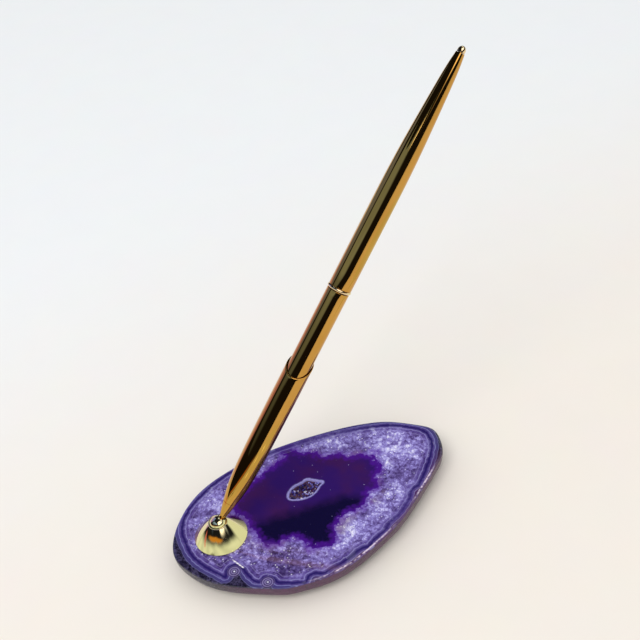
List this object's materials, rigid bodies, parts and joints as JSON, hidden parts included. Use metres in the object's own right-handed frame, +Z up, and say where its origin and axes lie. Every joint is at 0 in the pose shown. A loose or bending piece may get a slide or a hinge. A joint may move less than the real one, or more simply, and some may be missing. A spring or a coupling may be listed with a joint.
{
  "type": "desk pen with agate slice stand",
  "caption": "Slim twist ballpoint desk pen leaning in a ball-and-socket swivel holder that is bolted through a polished agate slice standing on clear rubber feet.",
  "frame": {"origin": "on the surface it stands on, under the middle of the bounding box with the pen leaning as at rest", "axes": "+Z up; +X along the agate slice's long side, from the holder towards the end that the pen leans over; +Y across the slice"},
  "size_m": [0.1244, 0.0574, 0.1335],
  "materials": {
    "agate": "polished, dyed purple, banded rim, quartz crystal ring and an open crystal pocket",
    "gold": "gold-plated and polished to a mirror",
    "pale_gold": "pale gold-plated and polished to a mirror",
    "bare_brass": "turned brass, unplated",
    "steel": "plain steel",
    "nylon": "natural nylon",
    "clear_rubber": "clear polyurethane, slightly cloudy"
  },
  "bodies": {
    "stand": {"agate_slice": "agate", "bumper_foot_1": "clear_rubber", "bumper_foot_2": "clear_rubber", "bumper_foot_3": "clear_rubber", "bumper_foot_4": "clear_rubber", "holder_dome": "pale_gold", "base_plate_stud": "bare_brass", "wave_spring": "steel", "base_washer": "bare_brass", "base_nut": "steel"},
    "cup": {"ball_cup": "nylon"},
    "ball": {"swivel_ball": "pale_gold"},
    "pen": {"nose_cone": "gold", "lower_barrel": "gold", "upper_sleeve": "gold", "mechanism_housing": "bare_brass"},
    "tail": {"centre_ring": "gold", "tail_barrel": "gold", "tail_cap": "gold", "drive_bushing": "bare_brass", "twist_cam": "bare_brass"},
    "refill": {"refill_carrier": "nylon", "refill_tip": "bare_brass", "refill_tube": "steel", "refill_plug": "nylon", "writing_ball": "steel"}
  },
  "joints": [
    {"name": "swivel_turn", "type": "hinge", "parent": "stand", "child": "cup", "pos_m": [-0.04611, 0.00274, 0.013], "axis": [0, 0, 1], "continuous": true},
    {"name": "swivel_lean", "type": "hinge", "parent": "cup", "child": "ball", "pos_m": [-0.04611, 0.00274, 0.013], "axis": [-0.2147, 0.9767, 0], "range_deg": [-42, 5]},
    {"name": "pen_pull", "type": "slide", "parent": "ball", "child": "pen", "axis": [0.6611, 0.1453, 0.7361], "range_m": [0, 0.04]},
    {"name": "tail_twist", "type": "hinge", "parent": "pen", "child": "tail", "pos_m": [-0.04611, 0.00274, 0.013], "axis": [0.6611, 0.1453, 0.7361], "range_deg": [0, 180]},
    {"name": "refill_slide", "type": "slide", "parent": "pen", "child": "refill", "axis": [0.6611, 0.1453, 0.7361], "range_m": [0, 0.005]}
  ],
  "couplings": [
    {"joint": "tail_twist", "follows": "refill_slide", "rad_per_m": 628.32}
  ]
}
